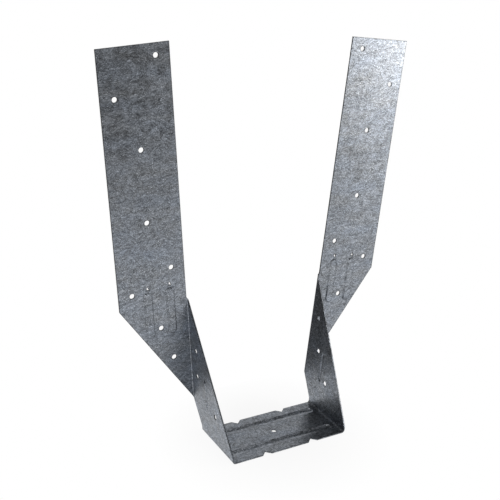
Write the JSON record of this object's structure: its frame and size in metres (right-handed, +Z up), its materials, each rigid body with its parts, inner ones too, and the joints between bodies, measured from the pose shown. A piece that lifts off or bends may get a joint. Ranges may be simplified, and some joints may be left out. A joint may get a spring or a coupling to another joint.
{
  "type": "long-leg joist hanger",
  "caption": "Galvanised steel joist hanger folded from one sheet: a flat seat, two tapering side plates and two tall perforated nailing flanges.",
  "frame": {"origin": "middle of the seat's top face, where the joist rests", "axes": "+Z up along the legs, +Y towards the supporting beam's face, X across the joist"},
  "size_m": [0.332, 0.0866, 0.3883],
  "materials": {
    "galvanised_steel": "hot-dip galvanised, dull blue-grey with a fine mottled spangle"
  },
  "bodies": {
    "root": {"joist_hanger": "galvanised_steel"}
  },
  "joints": []
}
